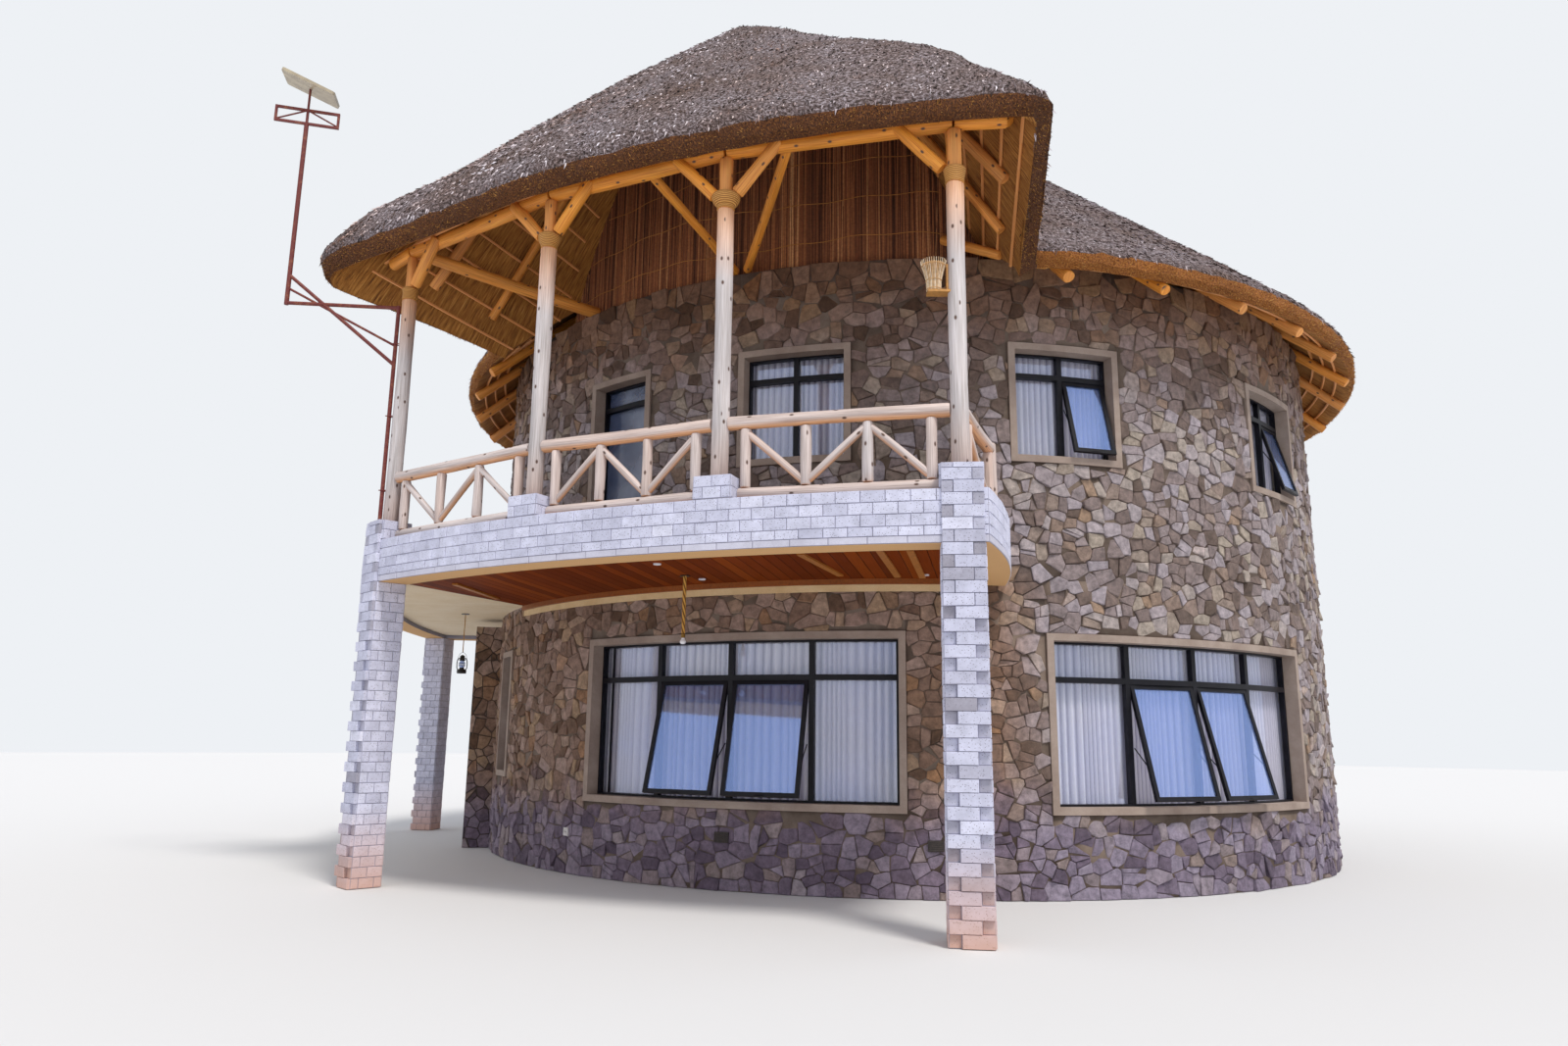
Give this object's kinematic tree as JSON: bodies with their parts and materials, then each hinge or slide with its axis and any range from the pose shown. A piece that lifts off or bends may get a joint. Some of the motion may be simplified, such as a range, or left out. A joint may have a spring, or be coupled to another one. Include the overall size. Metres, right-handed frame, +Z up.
{
  "type": "rondavel hut",
  "caption": "Two-storey round stone hut with a thatched cone roof, a curved balcony on stone pillars and a thatched hood over it.",
  "frame": {"origin": "centre of the round wall, on the ground", "axes": "-Y towards the front with the balcony, +X to the right of the front, +Z up"},
  "size_m": [13.8869, 14.7729, 11.5786],
  "materials": {
    "ceiling_boards": "satin",
    "concrete": "matte",
    "curtain_cloth": "matte",
    "fitting": "satin",
    "lamp_glass": "satin",
    "lantern_metal": "satin",
    "mast_steel": "matte",
    "panel_glass": "gloss",
    "plaster": "matte",
    "pole_wood": "matte",
    "reed": "matte",
    "rope": "matte",
    "rubble_stone": "matte",
    "sconce_basket": "matte",
    "stone_tile": "matte",
    "thatch": "matte",
    "window_glass": "gloss",
    "window_metal": "satin"
  },
  "bodies": {
    "root": {"air_vents": "lantern_metal", "balcony_band": "stone_tile", "balcony_ceiling": "ceiling_boards", "balcony_door": "window_metal", "balcony_door_surround": "plaster", "balcony_slab": "concrete", "ceiling_cornice": "ceiling_boards", "door_glass": "window_glass", "eave_beams": "pole_wood", "entrance_door": "window_metal", "entrance_door_surround": "plaster", "front_railing": "pole_wood", "ground_curtains": "curtain_cloth", "ground_floor": "concrete", "ground_wall_piers": "rubble_stone", "ground_wall_sills_and_heads": "rubble_stone", "ground_window_frames": "window_metal", "ground_window_glass": "window_glass", "ground_window_surrounds": "plaster", "hood_rafters": "pole_wood", "hood_thatch": "thatch", "lantern": "lantern_metal", "lantern_rope": "rope", "left_pillar": "stone_tile", "log_posts": "pole_wood", "main_thatch": "thatch", "mast_panel": "panel_glass", "open_sashes": "window_metal", "pendant_bulb": "lamp_glass", "pendant_rope": "rope", "pier_blocks": "stone_tile", "plaster_strip": "plaster", "porch_railing": "pole_wood", "porch_soffit": "plaster", "porch_stub_wall": "rubble_stone", "post_brackets": "pole_wood", "post_collars": "rope", "post_sconce": "sconce_basket", "railing_newels": "pole_wood", "rear_pillar": "stone_tile", "reed_lining": "reed", "right_pillar": "stone_tile", "right_railing": "pole_wood", "roof_rafters": "pole_wood", "socket_plate": "fitting", "steel_mast": "mast_steel", "tie_beams": "pole_wood", "upper_curtains": "curtain_cloth", "upper_floor": "concrete", "upper_wall_piers": "rubble_stone", "upper_wall_sills_and_heads": "rubble_stone", "upper_window_frames": "window_metal", "upper_window_glass": "window_glass", "upper_window_surrounds": "plaster"}
  },
  "joints": []
}
